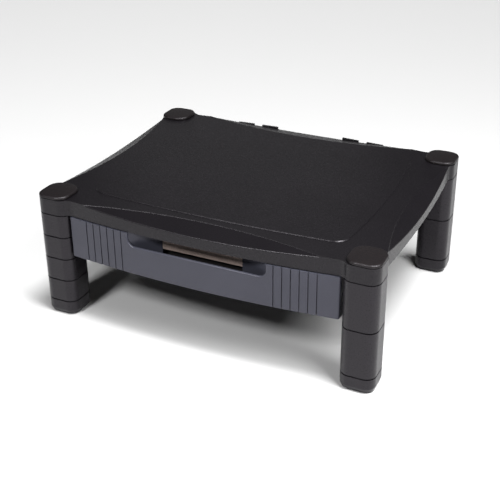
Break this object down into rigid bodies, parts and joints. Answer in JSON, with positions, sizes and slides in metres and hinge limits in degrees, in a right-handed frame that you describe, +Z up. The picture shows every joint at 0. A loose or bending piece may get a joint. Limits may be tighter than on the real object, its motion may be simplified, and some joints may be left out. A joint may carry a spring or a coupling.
{
  "type": "monitor riser stand",
  "caption": "Desk-top monitor riser: a wide platform on stacked column legs, with a sliding drawer underneath and cable clips behind.",
  "frame": {"origin": "on the floor plane, under the middle of the object's bounding box", "axes": "+Z up, -Y towards the user (the drawer opens along -Y), +X to the user's right"},
  "size_m": [0.432, 0.3557, 0.1632],
  "materials": {
    "platform": "satin black, finely textured",
    "cap": "matte black, coarser texture",
    "leg": "satin black, finely textured",
    "pad": "matte black rubber",
    "drawer_face": "satin slate grey",
    "tray": "matte warm black, grained",
    "rail": "satin black",
    "clip": "smooth black",
    "screw": "zinc-plated steel"
  },
  "bodies": {
    "stand": {"cable_clip_left": "clip", "cable_clip_right": "clip", "corner_cap_front_left": "cap", "corner_cap_front_right": "cap", "corner_cap_rear_left": "cap", "corner_cap_rear_right": "cap", "foot_front_left": "leg", "foot_front_right": "leg", "foot_pad_front_left": "pad", "foot_pad_front_right": "pad", "foot_pad_rear_left": "pad", "foot_pad_rear_right": "pad", "foot_rear_left": "leg", "foot_rear_right": "leg", "leg_front_left_column_1": "leg", "leg_front_left_column_2": "leg", "leg_front_left_column_3": "leg", "leg_front_left_column_4": "leg", "leg_front_right_column_1": "leg", "leg_front_right_column_2": "leg", "leg_rear_left_column_1": "leg", "leg_rear_left_column_2": "leg", "leg_rear_left_column_3": "leg", "leg_rear_left_column_4": "leg", "leg_rear_right_column_1": "leg", "leg_rear_right_column_2": "leg", "rail_left": "rail", "rail_right": "rail", "rail_screws": "screw", "top_platform": "platform"},
    "drawer": {"drawer_tray": "tray", "drawer_front": "drawer_face", "drawer_front_screws": "screw"}
  },
  "joints": [
    {"name": "drawer_slide", "type": "slide", "parent": "stand", "child": "drawer", "axis": [0, -1, 0], "range_m": [0, 0.2]}
  ]
}
